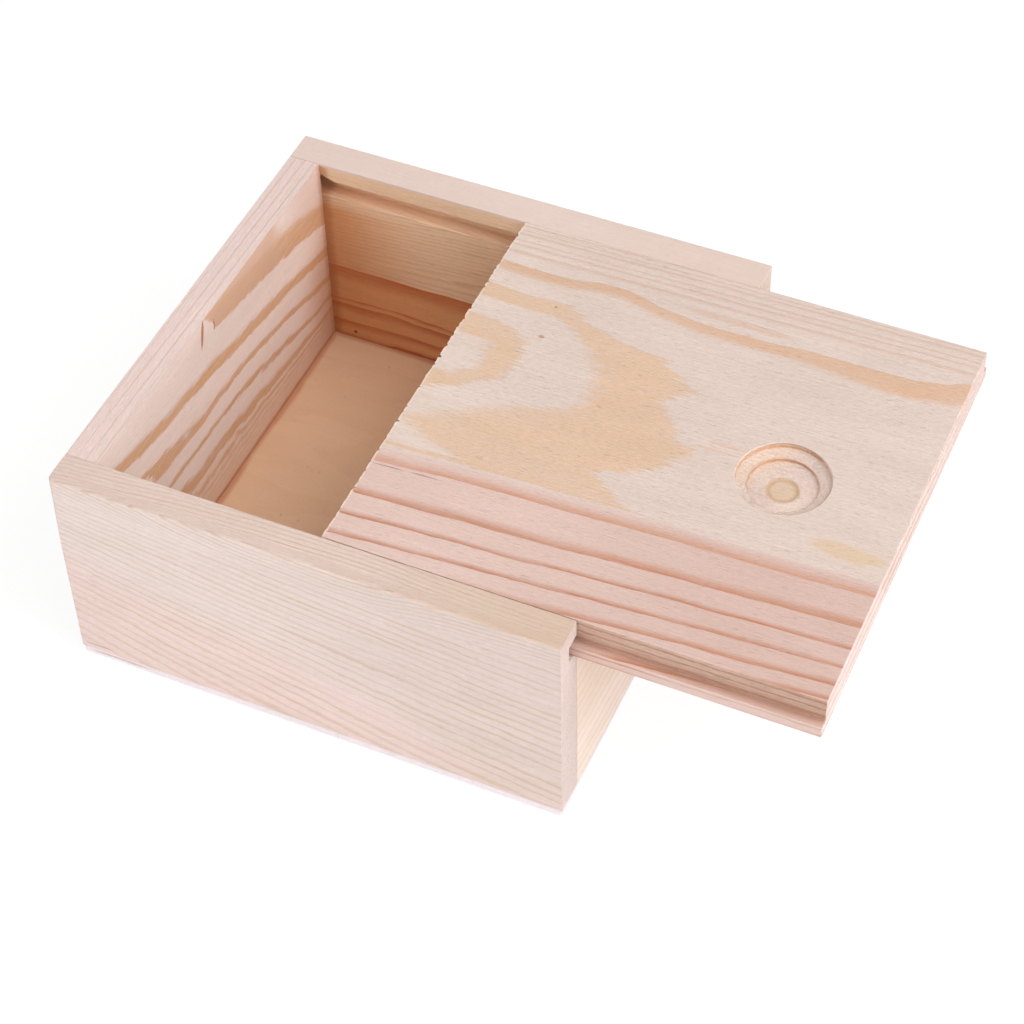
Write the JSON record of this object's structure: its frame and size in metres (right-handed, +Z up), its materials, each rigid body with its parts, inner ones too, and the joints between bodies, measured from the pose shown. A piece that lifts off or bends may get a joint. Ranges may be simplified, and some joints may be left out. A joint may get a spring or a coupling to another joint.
{
  "type": "sliding lid wooden box",
  "caption": "Small unfinished pine box with a lid that slides in grooves along the side boards and has a round finger recess.",
  "frame": {"origin": "centre of the underside of the box", "axes": "+X along the slide, towards the open end; +Y across the box, towards the rear side board; +Z up"},
  "size_m": [0.1665, 0.118, 0.056],
  "materials": {
    "front_pine": "planed and sanded pine, unfinished",
    "rear_pine": "planed and sanded pine, unfinished",
    "tall_end_pine": "planed and sanded pine, unfinished",
    "low_end_pine": "planed and sanded pine, unfinished",
    "bottom_sheet": "thin smooth plywood sheet, unfinished",
    "pin_steel": "bare steel pins",
    "lid_pine": "flat-sawn pine, sanded on top, rough-sawn at the inner end, unfinished"
  },
  "bodies": {
    "box": {"front_side_board": "front_pine", "rear_side_board": "rear_pine", "tall_end_board": "tall_end_pine", "low_end_board": "low_end_pine", "bottom_panel": "bottom_sheet", "bottom_pins": "pin_steel"},
    "lid": {"sliding_lid": "lid_pine"}
  },
  "joints": [
    {"name": "lid_slide", "type": "slide", "parent": "box", "child": "lid", "axis": [1, 0, 0], "range_m": [-0.0515, 0.06]}
  ]
}
